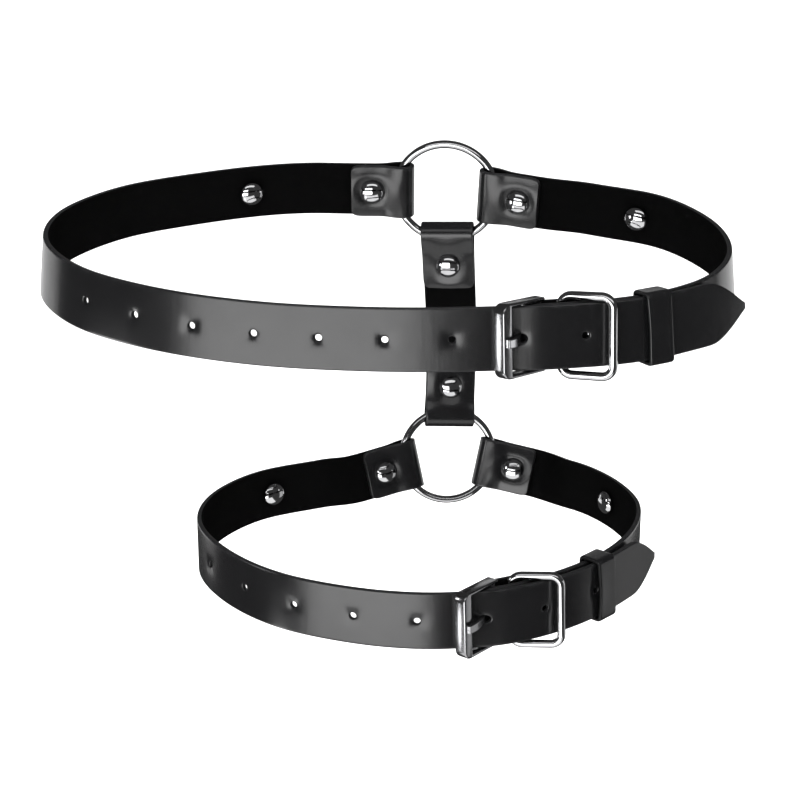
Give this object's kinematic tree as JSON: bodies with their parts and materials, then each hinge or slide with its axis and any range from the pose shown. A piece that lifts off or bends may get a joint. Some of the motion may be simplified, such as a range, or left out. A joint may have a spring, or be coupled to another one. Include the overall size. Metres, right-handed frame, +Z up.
{
  "type": "thigh harness",
  "caption": "Leather thigh harness: a wide and a narrower buckled strap loop, hung one below the other by a short strap between their metal rings, shown in worn form.",
  "frame": {"origin": "middle of the upper loop, half-way up its strap, on the axis of the thigh that it sits on", "axes": "+Z up along the thigh, -Y to the front where the buckles are, +Y to the rings, +X to the free ends of the long straps"},
  "size_m": [0.235, 0.1573, 0.1541],
  "materials": {
    "leather": "semi-gloss black coated face, matt black back",
    "nickel": "polished nickel plate",
    "gunmetal": "polished dark nickel plate"
  },
  "bodies": {
    "root": {"upper_long_strap": "leather", "upper_buckle_strap": "leather", "upper_ring": "nickel", "upper_buckle_frame": "gunmetal", "upper_buckle_prong": "gunmetal", "upper_wire_keeper": "nickel", "upper_leather_keeper": "leather", "upper_tab_rivet_left": "nickel", "upper_tab_rivet_right": "nickel", "upper_side_rivet_left": "nickel", "upper_side_rivet_right": "nickel", "upper_fold_rivet": "nickel", "lower_long_strap": "leather", "lower_buckle_strap": "leather", "lower_ring": "nickel", "lower_buckle_frame": "gunmetal", "lower_buckle_prong": "gunmetal", "lower_wire_keeper": "nickel", "lower_leather_keeper": "leather", "lower_tab_rivet_left": "nickel", "lower_tab_rivet_right": "nickel", "lower_side_rivet_left": "nickel", "lower_side_rivet_right": "nickel", "lower_fold_rivet": "nickel", "connector_strap": "leather", "connector_rivet_top": "nickel", "connector_rivet_bottom": "nickel"}
  },
  "joints": []
}
